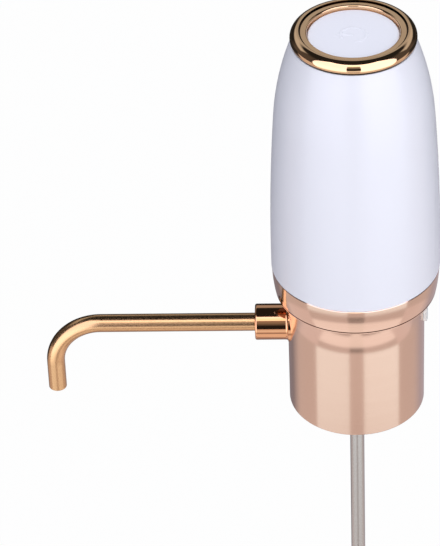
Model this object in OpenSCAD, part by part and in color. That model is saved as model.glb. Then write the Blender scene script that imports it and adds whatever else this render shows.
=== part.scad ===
// Electric wine aerator: a battery-driven air pump in a barrel-shaped body on a steel cup.
// The stopper seals the bottle, the pump presses air in, and wine rises through the dip tube
// to the bent spout. Millimetres, +Z up, spout towards -X.
// The origin lies on the axis where the bottle's lip meets the stopper's seat.

/* [Base cup] */
// Outer diameter of the steel cup round the bottle's mouth
cup_d = 60; // [58:1:66]
// Wall of the cup
cup_wall = 1.2; // [0.8:0.1:1.8]
// Height of the cup
cup_h = 60.5; // [58:0.5:70]
// Depth of the cup below the bottle's lip
skirt_h = 27; // [22:1:29]
// Width of the flange turned in at the top of the cup
cup_flange_w = 4; // [3.5:0.5:5]

/* [Collar ring] */
// Height of the collar ring
collar_h = 13.4; // [10:0.2:18]
// How far the ring's lower edge stands out over the cup
collar_overhang = 5; // [4:0.5:7]
// How much the ring's radius grows along its curve towards the top
collar_flare = 1.4; // [0.6:0.2:2.4]
// Wall of the ring at its lower edge
collar_wall = 1.9; // [1.5:0.1:2.5]
// Height of the lip along the lower edge
collar_lip_h = 1.2; // [0.8:0.1:2]

/* [Body shell] */
// Height of the white shell
body_h = 114.4; // [108:0.1:130]
// Diameter of the shell at its upper edge
body_top_d = 52.2; // [51.8:0.2:58]
// Wall of the shell
body_wall = 2.2; // [1.6:0.2:2.8]
// Height of the widest place above the shell's lower edge
belly_h = 6; // [2:1:14]
// Radius of the long curve of the shell's side
belly_arc_r = 1020; // [800:20:1600]
// Height at which the shoulder curve takes over
shoulder_h = 78; // [70:1:84]

/* [Top trim and button] */
// Radius of the trim ring's rounded edge
trim_bead_r = 3.4; // [3:0.1:3.8]
// How far the trim ring stands out over the shell
trim_proud = 0.4; // [0.2:0.1:0.8]
// Drop from the ring's crest to its inner edge
trim_dish = 1.4; // [1:0.1:2]
// Diameter of the push button
button_d = 38.2; // [35:0.2:39]
// Depth of the button's face below the ring's inner edge
button_recess = 1; // [0.4:0.1:1.2]
// Stroke of the button
button_travel = 1; // [0.5:0.1:1.2]

/* [Spout] */
// Height of the spout's axis above the bottle's lip
spout_z = 13.8; // [13:0.2:16]
// Outer diameter of the spout tube
spout_d = 8; // [7:0.5:9]
// Wall of the spout tube
spout_wall = 0.8; // [0.6:0.1:1]
// Distance from the body's axis to the pouring leg
spout_reach = 134; // [100:1:160]
// Radius of the bend
bend_r = 21; // [16:1:30]
// Drop from the spout's axis to its mouth
spout_drop = 35.5; // [34:0.5:50]
// Diameter of the socket that holds the spout
socket_d = 16; // [15:0.5:18]
// Length of the socket outside the cup
socket_len = 14.5; // [13.5:0.5:20]
// Radius of the fillet at the socket's foot
socket_fillet = 1; // [0.8:0.2:2.4]

/* [Stopper and dip tube] */
// Diameter of the stopper's fins
fin_d = 19.2; // [18.4:0.1:20.4]
// Diameter of the stopper's core
stopper_d = 16.4; // [16:0.2:17.4]
// Number of fins
fin_count = 4; // [3:1:4]
// Length of the stopper below the seat
stopper_h = 24; // [22:1:27]
// Diameter of the seat flange that rests on the bottle's lip
seat_d = 29; // [27:1:33]
// Outer diameter of the fixed dip tube
tube_d = 6.4; // [6:0.1:6.6]
// Length of the fixed dip tube below the lip
tube_len = 145; // [140:5:160]
// Stroke of the sliding dip tube
tube_stroke = 125; // [90:5:125]

/* [Air pump] */
// Distance of the pump's axis behind the body's axis
pump_y = 12; // [11.5:0.5:13.5]
// Outer diameter of the pump housing
pump_d = 27; // [26:0.5:28]
// Diameter of the motor can
motor_d = 24.4; // [23:0.2:25]
// Length of the motor can
motor_h = 31; // [27:1:34]
// Tilt of the wobble plate and its pin
wobble_tilt = 8; // [6:0.5:9]

/* [Battery] */
// Diameter of the battery cell
cell_d = 18.4; // [16:0.2:18.8]
// Length of the battery cell
cell_h = 65; // [50:1:70]

/* [Charging port] */
// Width of the charging socket
port_w = 9; // [8:0.1:9.4]
// Height of the charging socket
port_h = 3.2; // [2.8:0.1:3.4]
// Width of the port cover
flap_w = 13; // [11.8:0.2:14]
// Height of the port cover
flap_h = 7; // [6.6:0.2:8]
// Thickness of the port cover
flap_t = 1.4; // [1.2:0.1:2]
// Length of the finger lip below the port cover
flap_lip = 1.4; // [1.2:0.2:3]
// Angle that the port cover swings open
cover_open = 110; // [80:5:120]

/* [Fits] */
// Gap between nested fixed pieces
fit_gap = 0.2; // [0.15:0.05:0.25]
// Radial gap of a running fit
run_gap = 0.05; // [0.04:0.01:0.08]

/* [Hidden] */
$fn = 72;
fine = 256;
eps = 0.01;

// Cup and collar
cup_r = cup_d / 2;
cup_in_r = cup_r - cup_wall;
cup_hole_r = cup_in_r - cup_flange_w;
cup_edge_r = cup_wall * 0.4;
rim_z = -skirt_h;
cup_top_z = rim_z + cup_h;
collar_web = 1.5;
collar_bevel = 0.4;
collar_groove = 0.35;
collar_low_r = cup_r + collar_overhang;
collar_top_r = collar_low_r + collar_flare;
collar_in_r = collar_low_r - collar_wall;
collar_top_z = cup_top_z + collar_h;
// The ring's side is one arc that stands upright at its top
collar_arc_r = (collar_flare * collar_flare + collar_h * collar_h) / (2 * collar_flare);

// Shell: the long side curve and the shoulder curve meet with one tangent
body_step = 0.25;
reveal_h = 0.45;
reveal_w = 0.9;
body_top_t = 3.4;
belly_r = collar_top_r + body_step;
body_z = collar_top_z;
body_top_z = body_z + body_h;
belly_z = body_z + belly_h;
body_top_r = body_top_d / 2;
join_z = body_z + shoulder_h;
join_angle = asin((join_z - belly_z) / belly_arc_r);
join_r = belly_r - belly_arc_r * (1 - cos(join_angle));
rise_r = body_top_r - join_r;
rise_z = body_top_z - join_z;
shoulder_arc_r = -(rise_r * rise_r + rise_z * rise_z)
    / (2 * (rise_r * cos(join_angle) + rise_z * sin(join_angle)));
shoulder_cx = join_r - shoulder_arc_r * cos(join_angle);
shoulder_cz = join_z - shoulder_arc_r * sin(join_angle);
spigot_h = 5;
spigot_r = belly_r - body_wall - fit_gap - 0.05;
snap_count = 4;
snap_w = 8;
snap_h = 1.4;
snap_d = 0.5;

// Trim ring and button
button_r = button_d / 2;
button_gap = 0.3;
button_t = 2;
button_round = 0.6;
button_rim_w = 3;
button_flange_w = 1.6;
button_flange_t = 1.2;
trim_lip_t = 2.3;
trim_skirt_wall = 1.6;
trim_skirt_h = 6.5;
trim_in_r = button_r + button_gap;
trim_crest_r = body_top_r + trim_proud - trim_bead_r;
trim_rise = 5.5;
trim_crest_z = body_top_z + trim_rise;
trim_step = 0.7;
trim_round = trim_dish - trim_step;
trim_groove_w = 0.6;
trim_groove_h = 0.7;
trim_groove_r = trim_crest_r - 1;
trim_flat_z = trim_crest_z - trim_step;
trim_edge_z = trim_crest_z - trim_dish;
flange_r = trim_in_r + button_flange_w;
trim_skirt_in_r = flange_r + 0.6;
trim_skirt_r = trim_skirt_in_r + trim_skirt_wall;
trim_hole_r = trim_skirt_r + fit_gap;
button_top_z = trim_edge_z - button_recess;
lip_under_z = trim_edge_z - trim_lip_t;
flange_top_z = lip_under_z - 0.1;

// Switch board below the button
board_t = 1.6;
board_r = 20;
board_z = body_top_z - 12;
switch_w = 6;
switch_h = 3.6;
plunger_r = 1.75;
plunger_h = 2.6;
switch_z = board_z + board_t;
plunger_z = switch_z + switch_h;
post_r = 3;
board_screw_count = 3;
board_screw_circle = 16.5;
board_screw_r = 1;
board_screw_len = 6;
board_turn = 30;
chip_at = [-11, 5];
chip_size = [6, 5, 1.5];
driver_at = [6, 6];
driver_size = [4, 4, 1.2];
can_at = [7, -9];
can_r = 2.4;
can_h = 3;

// Chassis
plate_z = cup_top_z + collar_web;
plate_t = 3;
plate_top_z = plate_z + plate_t;
plate_r = collar_in_r - fit_gap;
leg_r = 3.4;
leg_count = 4;
leg_circle = cup_hole_r - leg_r - 0.4;
shelf_t = 2.5;
shelf_z = board_z - 6.5;
web_t = 2;
clamp_count = 4;
clamp_r = 0.95;
clamp_circle = cup_in_r - 2;
rib_wall = 1.6;
saddle_h = 8;

// Battery
cell_r = cell_d / 2;
cell_y = pump_y - pump_d / 2 - web_t - 1.6 - cell_r;
tab_t = 0.4;
tab_w = 6;
tab_len = 8;
cell_z = plate_top_z + tab_t;
web_y = (pump_y - pump_d / 2 + cell_y + cell_r) / 2;

// Pump stack, from its foot up
pump_r = pump_d / 2;
head_h = 9;
sheet_t = 1;
skin_t = 1;
skin_edge = 0.3;
cup_low_r = 3.6;
cup_high_r = 2;
cup_skin = 0.5;
teat_r = 0.95;
housing_h = 24;
housing_wall = 1.5;
housing_top_t = 2.5;
nozzle_r = 2.1;
nozzle_h = 8;
head_z = plate_top_z + 3;
sheet_z = head_z + head_h;
skin_z = sheet_z + sheet_t;
housing_z = skin_z + skin_t;
motor_z = housing_z + housing_h;
motor_r = motor_d / 2;
can_wall = 1;
boss_r = 3;
boss_h = 2;
end_cap_h = 2.5;
cap_edge = 0.3;
cap_step = 0.8;
cap_boss_r = 3.4;
cap_plug_h = 1.5;
cap_skin = 0.5;
term_at = 7;
term_t = 0.6;
term_w = 2.4;
term_h = 5.5;
shaft_r = 1;
cup_count = 3;
arm_circle = 7;
arm_w = 5;
arm_t = 1.6;
hub_r = 3.2;
hub_h = 3;
pin_r = 0.75;
nut_z = housing_z + 7.5;
crank_r = 4.8;
crank_h = 7.5;
crank_z = motor_z - housing_top_t - boss_h + 1 - crank_h;
pin_top = (crank_z + crank_h * 0.45 - nut_z) / cos(wobble_tilt);
pump_screw_r = 0.95;
pump_screw_circle = pump_r - 3.9;
pump_boss_r = 2.6;
armature_gap = 0.6;
magnet_t = 1.5;

// Floor, flow block and stopper
seat_t = 2;
floor_t = 2.2;
floor_z = seat_t;
block_z = floor_z + floor_t;
block_flange_t = 2.8;
block_flange_r = cup_in_r - fit_gap;
block_top_z = block_z + block_flange_t + 15.6;
tower_r = 9;
arm_r = socket_d / 2 + 0.4;
neck_r = 10.4;
keeper_r = 13;
keeper_t = 1.4;
wine_r = 2.6;
air_r = 1.1;
air_y = 5.6;
air_z = block_z + 7.8;
riser_r = 5;
valve_r = 3.4;
valve_t = 1.2;
bill_r = 1.8;
bill_h = 3.4;
nipple_flange_h = 4.6;
nipple_r = 2.1;
nipple_h = 6;
hose_r = 3.6;
hose_z = block_top_z + 0.3;
hose_top_z = head_z - 1.5;

stopper_r = stopper_d / 2;
fin_r = fin_d / 2;
fin_t = 1.6;
fin_pitch = (stopper_h - fin_t - 3) / (fin_count - 1);
seat_r = seat_d / 2;
tube_r = tube_d / 2;
tube_wall = 0.5;
tube_in_r = tube_r - tube_wall;
tube_top_z = block_z + 6.2;
tube_end_z = -tube_len;
slide_gap = 0.25;
inner_r = tube_in_r - slide_gap;
inner_wall = 0.45;
bead_h = 3;
hold_len = 9;
inner_top_z = -(tube_len - tube_stroke - bead_h - hold_len);
inner_tip_z = tube_end_z - 15;
cap_r = tube_r + 1.5;
cap_h = 12;
cap_base = 3;
seal_h = 2;

// Spout
spout_r = spout_d / 2;
spout_in_r = spout_r - spout_wall;
bore_r = spout_r + run_gap;
socket_r = socket_d / 2;
socket_face = cup_r + socket_len;
socket_round = 0.8;
stem_r = socket_r - 2.4;
stem_end = cup_in_r - 8;
seat_depth = 12.5;
bore_end = socket_face - seat_depth;
plug_end = bore_end + 0.3;
plug_face = socket_face - 1.5;
plug_bore = spout_in_r - 1;
plug_tail = 5;
ring_r = 0.45;
ring_mid = spout_r - ring_r;
groove_w = 1.3;
groove_r = spout_r - 2 * ring_r - 0.04;
groove_at = [plug_end + 2.6, plug_end + 6];
tip_round = 0.35;

// Charging port
port_rise = 11.6;
shelf_top_z = block_z + block_flange_t + port_rise;
charge_t = 1.2;
charge_w = 15;
charge_len = 15;
port_z = shelf_top_z + charge_t + port_h / 2;
port_depth = 7.2;
charge_face = sqrt(cup_in_r * cup_in_r - charge_w * charge_w / 4) - 0.4;
port_face = sqrt(cup_in_r * cup_in_r - port_w * port_w / 4) - 0.3;
port_wall = 0.35;
window_w = port_w + 0.8;
window_h = port_h + 1.4;
flap_gap = 0.1;
flap_round = 1.2;
flap_low_z = port_z - flap_h / 2;
lip_z = flap_low_z - flap_lip;
hinge_r = flap_t / 2;
hinge_x = cup_r + flap_gap + hinge_r;
hinge_z = flap_low_z + flap_h;
tongue_d = 0.8;
strap_w = 7;
strap_h = 3.2;
strap_z = hinge_z + hinge_r * 0.6;

// A ring or tube standing on z0
module tube(r_out, r_in, z0, h) {
    translate([0, 0, z0])
        difference() {
            cylinder(r = r_out, h = h);
            translate([0, 0, -eps])
                cylinder(r = r_in, h = h + 2 * eps);
        }
}

// Children in a frame whose z runs out along the spout's axis
module along_spout() {
    translate([0, 0, spout_z])
        rotate([0, -90, 0])
            children();
}

// Children on the pump's axis
module on_pump() {
    translate([0, pump_y, 0])
        children();
}

// Children repeated on a circle
module round_circle(count, r, start) {
    for (i = [0 : count - 1])
        rotate([0, 0, start + i * 360 / count])
            translate([r, 0, 0])
                children();
}

// Rectangle with round corners
module soft_square(w, h, r) {
    translate([r, 0])
        square([w - 2 * r, h]);
    translate([0, r])
        square([w, h - 2 * r]);
    for (x = [r, w - r], y = [r, h - r])
        translate([x, y])
            circle(r = r);
}

// Pan-head screw, head below, pointing up from z0
module screw(r, len, z0) {
    translate([0, 0, z0 - 1.4 * r])
        difference() {
            cylinder(r = 1.9 * r, h = 1.4 * r);
            for (a = [0, 90])
                rotate([0, 0, a])
                    translate([-1.3 * r, -0.2 * r, -eps])
                        cube([2.6 * r, 0.4 * r, 0.7 * r]);
        }
    translate([0, 0, z0 - eps])
        cylinder(r = r, h = len - r);
    translate([0, 0, z0 + len - r - 2 * eps])
        cylinder(r1 = r, r2 = r * 0.4, h = r);
}

// Half section of the shell's outline, moved in by inset, from z0 to z1
module barrel(inset, z0, z1) {
    join = join_z - inset * sin(join_angle);
    intersection() {
        translate([belly_r - belly_arc_r, belly_z])
            circle(r = belly_arc_r - inset, $fn = fine);
        translate([0, z0])
            square([belly_r, join - z0]);
    }
    intersection() {
        translate([shoulder_cx, shoulder_cz])
            circle(r = shoulder_arc_r - inset, $fn = fine);
        translate([0, join])
            square([belly_r, z1 - join]);
    }
}

// Steel cup with an inward flange on top, a hole for the socket and a window for the port
module base_cup() {
    color("#d9b3a2")
        difference() {
            rotate_extrude($fn = 180)
                union() {
                    translate([cup_in_r, rim_z])
                        soft_square(cup_wall, cup_h, cup_edge_r);
                    translate([cup_hole_r, cup_top_z - cup_wall])
                        square([cup_flange_w + cup_wall - cup_edge_r, cup_wall]);
                }
            along_spout()
                translate([0, 0, cup_in_r - 3])
                    cylinder(r = stem_r + fit_gap, h = cup_wall + 6);
            translate([cup_in_r - 3, -window_w / 2, port_z - window_h / 2])
                cube([cup_wall + 6, window_w, window_h]);
            translate([cup_in_r - 3, 0, strap_z + strap_h / 2])
                rotate([0, 90, 0])
                    cylinder(r = 0.9 + fit_gap, h = cup_wall + 6);
            round_circle(clamp_count, clamp_circle, 0)
                translate([0, 0, cup_top_z - cup_wall - 1])
                    cylinder(r = clamp_r + fit_gap, h = cup_wall + 2);
        }
}

// Conical ring: web on the cup's flange, lip and groove below, register for the shell above
module collar_ring() {
    z0 = cup_top_z;
    z1 = collar_top_z;
    lip = z0 + collar_lip_h;
    groove = [collar_low_r - collar_groove, lip];
    color("#d8ae94")
        difference() {
            union() {
                rotate_extrude($fn = 180)
                    difference() {
                        intersection() {
                            polygon([
                                [cup_hole_r, z0],
                                [collar_top_r + 1, z0],
                                [collar_top_r + 1, z1],
                                [spigot_r, z1],
                                [spigot_r, z1 + spigot_h - 0.6],
                                [spigot_r - 0.4, z1 + spigot_h],
                                [collar_in_r, z1 + spigot_h],
                                [collar_in_r, z0 + collar_web],
                                [cup_hole_r, z0 + collar_web]
                            ]);
                            translate([collar_top_r - collar_arc_r, z1])
                                circle(r = collar_arc_r, $fn = 720);
                        }
                        polygon([
                            [collar_low_r - collar_bevel, z0 - eps],
                            [collar_low_r + 2, z0 - eps],
                            [collar_low_r + 2, z0 + collar_bevel + 2]
                        ]);
                        polygon([
                            groove,
                            groove + [2, -collar_groove],
                            groove + [2, 1.8 * collar_groove],
                            groove + [0, 0.8 * collar_groove]
                        ]);
                        polygon([
                            [collar_top_r - collar_bevel, z1 + eps],
                            [collar_top_r + 2, z1 - collar_bevel - 2],
                            [collar_top_r + 2, z1 + eps]
                        ]);
                    }
                round_circle(snap_count, spigot_r - 0.6, 45)
                    translate([0, -snap_w / 2, z1 + spigot_h - 1.2 - snap_h])
                        cube([0.6 + snap_d, snap_w, snap_h]);
            }
            round_circle(clamp_count, clamp_circle, 0)
                translate([0, 0, z0 - 1])
                    cylinder(r = clamp_r + fit_gap, h = collar_web + 2);
        }
}

// White barrel with a shadow line at its foot and a ledge for the trim ring on top
module body_shell() {
    color("#f0f0f2")
        difference() {
            rotate_extrude($fn = 180)
                difference() {
                    barrel(0, body_z, body_top_z);
                    barrel(body_wall, body_z - 1, body_top_z - body_top_t);
                    translate([0, body_z])
                        square([trim_hole_r, body_h + 1]);
                    translate([belly_r - reveal_w, body_z - 1])
                        square([reveal_w + 1, reveal_h + 1]);
                }
            round_circle(snap_count, spigot_r - 2, 45)
                translate([0, -snap_w / 2 - fit_gap, body_z + spigot_h - 1.2 - snap_h - fit_gap])
                    cube([2 + snap_d + fit_gap, snap_w + 2 * fit_gap, snap_h + 2 * fit_gap]);
        }
}

// Gold ring: rounded outer bead, fine groove, flat inner ring with a rounded edge, skirt in the shell
module top_trim_ring() {
    color("#c79a5c")
        rotate_extrude($fn = 180) {
            intersection() {
                translate([trim_crest_r, trim_crest_z - trim_bead_r])
                    circle(r = trim_bead_r);
                translate([trim_groove_r + trim_groove_w, body_top_z])
                    square([trim_bead_r + 2, trim_bead_r + 6]);
            }
            difference() {
                polygon([
                    [trim_in_r, lip_under_z],
                    [trim_skirt_in_r, lip_under_z],
                    [trim_skirt_in_r, body_top_z],
                    [trim_crest_r, body_top_z],
                    [trim_crest_r, trim_flat_z - trim_groove_h],
                    [trim_groove_r, trim_flat_z - trim_groove_h],
                    [trim_groove_r, trim_flat_z],
                    [trim_in_r, trim_flat_z]
                ]);
                translate([trim_in_r + trim_round, trim_flat_z - trim_round])
                    difference() {
                        translate([-2 * trim_round, 0])
                            square([2 * trim_round, 2 * trim_round]);
                        circle(r = trim_round);
                    }
            }
            translate([trim_skirt_in_r, body_top_z - trim_skirt_h])
                square([trim_skirt_wall, trim_skirt_h + 1]);
        }
}

// White disc with a retaining flange and a post over the switch
module push_button() {
    foot_z = flange_top_z - button_flange_t;
    color("#f2f2f4")
        union() {
            rotate_extrude($fn = 180) {
                difference() {
                    translate([0, foot_z])
                        square([button_r, button_top_z - foot_z]);
                    translate([button_r - button_round, button_top_z - button_round])
                        difference() {
                            square([2 * button_round, 2 * button_round]);
                            circle(r = button_round);
                        }
                    translate([0, foot_z - 1])
                        square([button_r - button_rim_w, button_top_z - button_t - foot_z + 1]);
                }
                translate([button_r - button_rim_w, foot_z])
                    square([flange_r - button_r + button_rim_w, button_flange_t]);
            }
            translate([0, 0, plunger_z + plunger_h])
                cylinder(r = post_r, h = button_top_z - button_t / 2 - plunger_z - plunger_h);
        }
}

// Plunger of the tact switch, pressed by the button's post
module switch_plunger() {
    color("#3a3a3c")
        translate([0, 0, plunger_z - button_travel - 0.3])
            cylinder(r = plunger_r, h = plunger_h + button_travel + 0.3);
}

// Body of the tact switch, with a well for the plunger
module tact_switch() {
    well = min(switch_h - 0.6, button_travel * 2 + 0.6);
    color("#2b2b2d")
        difference() {
            translate([-switch_w / 2, -switch_w / 2, switch_z])
                cube([switch_w, switch_w, switch_h]);
            translate([0, 0, switch_z + switch_h - well])
                cylinder(r = plunger_r + run_gap, h = well + 1);
        }
}

// Round circuit board with its drive circuit, on the chassis shelf
module switch_board() {
    color("#1f6b3a")
        difference() {
            union() {
                translate([0, 0, board_z])
                    cylinder(r = board_r, h = board_t);
                translate([chip_at[0], chip_at[1], board_z + board_t - eps])
                    cube(chip_size);
                translate([driver_at[0], driver_at[1], board_z + board_t - eps])
                    cube(driver_size);
                translate([can_at[0], can_at[1], board_z + board_t - eps])
                    cylinder(r = can_r, h = can_h);
            }
            round_circle(board_screw_count, board_screw_circle, board_turn)
                translate([0, 0, board_z - 1])
                    cylinder(r = board_screw_r + fit_gap, h = board_t + 2);
        }
}

// Screws that hold the switch board, heads up
module board_screws() {
    color("#9a9a9c")
        round_circle(board_screw_count, board_screw_circle, board_turn)
            translate([0, 0, board_z + board_t])
                rotate([180, 0, 0])
                    screw(board_screw_r, board_screw_len, 0);
}

// Inner frame: plate in the collar, legs down to the flow block, web, saddles and board shelf
module chassis() {
    legs_h = plate_z - block_z - block_flange_t;
    color("#4a4d52")
        difference() {
            union() {
                translate([0, 0, plate_z])
                    cylinder(r = plate_r, h = plate_t);
                round_circle(leg_count, leg_circle, 45)
                    translate([0, 0, plate_z - legs_h])
                        cylinder(r = leg_r, h = legs_h + eps);
                on_pump()
                    translate([0, 0, plate_top_z - eps])
                        cylinder(r = pump_r + fit_gap + rib_wall, h = saddle_h);
                translate([0, cell_y, plate_top_z - eps])
                    cylinder(r = cell_r + fit_gap + rib_wall, h = saddle_h);
                translate([-18, web_y - web_t / 2, plate_top_z - eps])
                    cube([36, web_t, shelf_z - plate_top_z + 1]);
                on_pump()
                    translate([0, 0, motor_z + motor_h / 2 - saddle_h / 2])
                        cylinder(r = motor_r + fit_gap + rib_wall, h = saddle_h);
                translate([-9, web_y, motor_z + motor_h / 2 - saddle_h / 2])
                    cube([18, pump_y - web_y, saddle_h]);
                translate([0, cell_y, cell_z + cell_h * 0.75 - saddle_h / 2])
                    cylinder(r = cell_r + fit_gap + rib_wall, h = saddle_h);
                translate([-7, cell_y, cell_z + cell_h * 0.75 - saddle_h / 2])
                    cube([14, web_y - cell_y, saddle_h]);
                translate([0, 0, shelf_z])
                    cylinder(r = board_r, h = shelf_t);
                round_circle(board_screw_count, board_screw_circle, 30)
                    translate([0, 0, shelf_z + shelf_t - eps])
                        cylinder(r = 2.6, h = board_z - shelf_z - shelf_t + eps);
            }
            on_pump() {
                translate([0, 0, plate_z - 1])
                    cylinder(r = hose_r + 0.6, h = plate_t + 6);
                translate([0, 0, head_z])
                    cylinder(r = pump_r + fit_gap, h = motor_z - head_z);
                translate([0, 0, motor_z - eps])
                    cylinder(r = motor_r + fit_gap, h = motor_h + end_cap_h + 1);
                round_circle(cup_count, pump_screw_circle, 30)
                    translate([0, 0, plate_top_z])
                        cylinder(r = pump_screw_r * 1.9 + 0.4, h = 4);
            }
            translate([0, cell_y, cell_z - tab_t])
                cylinder(r = cell_r + fit_gap, h = cell_h + tab_t + 1);
            translate([-6, cell_y - cell_r - 8, plate_top_z + 2])
                cube([12, cell_r + 2, cell_h + 8]);
            round_circle(leg_count, leg_circle, 45)
                translate([0, 0, plate_z - legs_h - 1])
                    cylinder(r = 1.4, h = 13);
            round_circle(clamp_count, clamp_circle, 0)
                translate([0, 0, plate_z - 1])
                    cylinder(r = clamp_r + 0.02, h = plate_t + 2);
            round_circle(board_screw_count, board_screw_circle, 30)
                translate([0, 0, shelf_z - 1])
                    cylinder(r = 1, h = board_z - shelf_z + 2);
        }
}

// Screws that clamp cup, collar and chassis plate together
module chassis_screws() {
    color("#9a9a9c")
        round_circle(clamp_count, clamp_circle, 0)
            screw(clamp_r, cup_wall + collar_web + plate_t, cup_top_z - cup_wall);
}

// Rechargeable cell with its crimped rim and positive cap
module battery_cell() {
    color("#3f6fb5")
        translate([0, cell_y, cell_z])
            rotate_extrude()
                union() {
                    difference() {
                        soft_square(cell_r, cell_h - 1.2, 0.8);
                        translate([cell_r, cell_h - 4.5])
                            circle(r = 0.6);
                    }
                    square([1, cell_h - 1.2]);
                    translate([0, cell_h - 1.3])
                        square([2.6, 1.3]);
                }
}

// Nickel strips under and over the cell
module battery_tabs() {
    color("#c9c9c4")
        union() {
            translate([-tab_w / 2, cell_y - tab_len / 2, cell_z - tab_t])
                cube([tab_w, tab_len, tab_t]);
            translate([-tab_w / 2, cell_y - tab_w / 2, cell_z + cell_h])
                cube([tab_w, cell_r, tab_t]);
        }
}

// Steel can of the motor with its bearing boss below
module motor_can() {
    color("#b4b6b8")
        on_pump()
            difference() {
                union() {
                    translate([0, 0, motor_z])
                        cylinder(r = motor_r, h = motor_h);
                    translate([0, 0, motor_z - boss_h])
                        cylinder(r = boss_r, h = boss_h + eps);
                }
                translate([0, 0, motor_z + can_wall])
                    cylinder(r = motor_r - can_wall, h = motor_h);
                translate([0, 0, motor_z - boss_h - 1])
                    cylinder(r = shaft_r + run_gap, h = boss_h + 3);
                round_circle(cup_count, pump_screw_circle, 30)
                    translate([0, 0, motor_z - 1])
                        cylinder(r = pump_screw_r + 0.05, h = can_wall + 2);
            }
}

// Pair of arc magnets inside the can
module motor_magnets() {
    r = motor_r - can_wall - 0.1;
    color("#3c3c40")
        on_pump()
            difference() {
                tube(r, r - magnet_t, motor_z + 5, motor_h - 9);
                for (s = [-1, 1])
                    translate([-4, s > 0 ? 0 : -motor_r, motor_z])
                        cube([8, motor_r, motor_h]);
            }
}

// Three-pole armature with its commutator
module motor_armature() {
    r = motor_r - can_wall - 0.1 - magnet_t - armature_gap;
    color("#a8632f")
        on_pump()
            difference() {
                union() {
                    translate([0, 0, motor_z + 7])
                        linear_extrude(height = motor_h - 14)
                            union() {
                                difference() {
                                    circle(r = r);
                                    circle(r = r - 1.6);
                                    for (i = [0 : 2])
                                        rotate(i * 120 + 60)
                                            translate([r - 3, -1])
                                                square([6, 2]);
                                }
                                for (i = [0 : 2])
                                    rotate(i * 120)
                                        translate([0, -2.4])
                                            square([r - 0.8, 4.8]);
                            }
                    translate([0, 0, motor_z + motor_h - 7 - eps])
                        cylinder(r = 2.6, h = 5);
                }
                translate([0, 0, motor_z])
                    cylinder(r = shaft_r, h = motor_h);
            }
}

// Motor shaft from the crank to the rear bearing
module motor_shaft() {
    color("#c4c6c8")
        on_pump()
            translate([0, 0, crank_z + crank_h * 0.55])
                cylinder(r = shaft_r, h = motor_z + motor_h + end_cap_h - 0.8 - crank_z - crank_h * 0.55);
}

// Rear cap of the motor with its bearing and two terminals
module motor_end_cap() {
    z = motor_z + motor_h;
    color("#e6e2d6")
        on_pump()
            difference() {
                union() {
                    translate([0, 0, z])
                        cylinder(r = motor_r - cap_edge, h = end_cap_h - cap_step);
                    translate([0, 0, z])
                        cylinder(r = cap_boss_r, h = end_cap_h);
                    translate([0, 0, z - cap_plug_h])
                        cylinder(r = motor_r - can_wall - fit_gap, h = cap_plug_h + eps);
                    for (s = [-1, 1])
                        translate([s * term_at - term_t / 2, -term_w / 2, z])
                            cube([term_t, term_w, term_h]);
                }
                translate([0, 0, z - 2 * cap_plug_h])
                    cylinder(r = shaft_r + run_gap, h = end_cap_h + 2 * cap_plug_h - cap_skin);
            }
}

// Housing round the wobble plate, closed by the motor plate on top
module pump_housing() {
    color("#e8e8e4")
        on_pump()
            difference() {
                union() {
                    tube(pump_r, pump_r - housing_wall, housing_z, housing_h);
                    intersection() {
                        round_circle(cup_count, pump_screw_circle, 30)
                            translate([0, 0, housing_z])
                                cylinder(r = pump_boss_r, h = housing_h);
                        translate([0, 0, housing_z])
                            cylinder(r = pump_r - 0.5, h = housing_h);
                    }
                    translate([0, 0, motor_z - housing_top_t])
                        cylinder(r = pump_r - 0.5, h = housing_top_t);
                }
                translate([0, 0, motor_z - housing_top_t - 1])
                    cylinder(r = boss_r + fit_gap, h = housing_top_t + 2);
                round_circle(cup_count, pump_screw_circle, 30)
                    translate([0, 0, housing_z - 1])
                        cylinder(r = pump_screw_r + 0.1, h = housing_h + 2);
            }
}

// Crank on the shaft with the tilted bore for the wobble pin
module crank() {
    color("#d8d8d2")
        on_pump()
            difference() {
                translate([0, 0, crank_z])
                    cylinder(r = crank_r, h = crank_h);
                translate([0, 0, crank_z + crank_h * 0.55])
                    cylinder(r = shaft_r, h = crank_h);
                translate([0, 0, nut_z])
                    rotate([0, wobble_tilt, 0])
                        cylinder(r = pin_r + run_gap, h = pin_top + 0.2);
            }
}

// Steel pin, pressed into the wobble plate and running in the crank
module wobble_pin() {
    color("#c4c6c8")
        on_pump()
            translate([0, 0, nut_z])
                rotate([0, wobble_tilt, 0])
                    translate([0, 0, -1])
                        cylinder(r = pin_r, h = pin_top + 1);
}

// Three-armed plate that works the diaphragm cups
module wobble_plate() {
    color("#e0ddd0")
        on_pump()
            translate([0, 0, nut_z])
                rotate([0, wobble_tilt, 0])
                    difference() {
                        union() {
                            translate([0, 0, -arm_t / 2])
                                cylinder(r = hub_r, h = hub_h);
                            for (i = [0 : cup_count - 1])
                                rotate([0, 0, 90 + i * 360 / cup_count]) {
                                    translate([0, -arm_w / 2, -arm_t / 2])
                                        cube([arm_circle, arm_w, arm_t]);
                                    translate([arm_circle, 0, -arm_t / 2])
                                        cylinder(r = arm_w / 2, h = arm_t);
                                }
                        }
                        translate([0, 0, -1])
                            cylinder(r = pin_r, h = hub_h + 2);
                        round_circle(cup_count, arm_circle, 90)
                            translate([0, 0, -arm_t])
                                cylinder(r = 1.5, h = 2 * arm_t);
                    }
}

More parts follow.
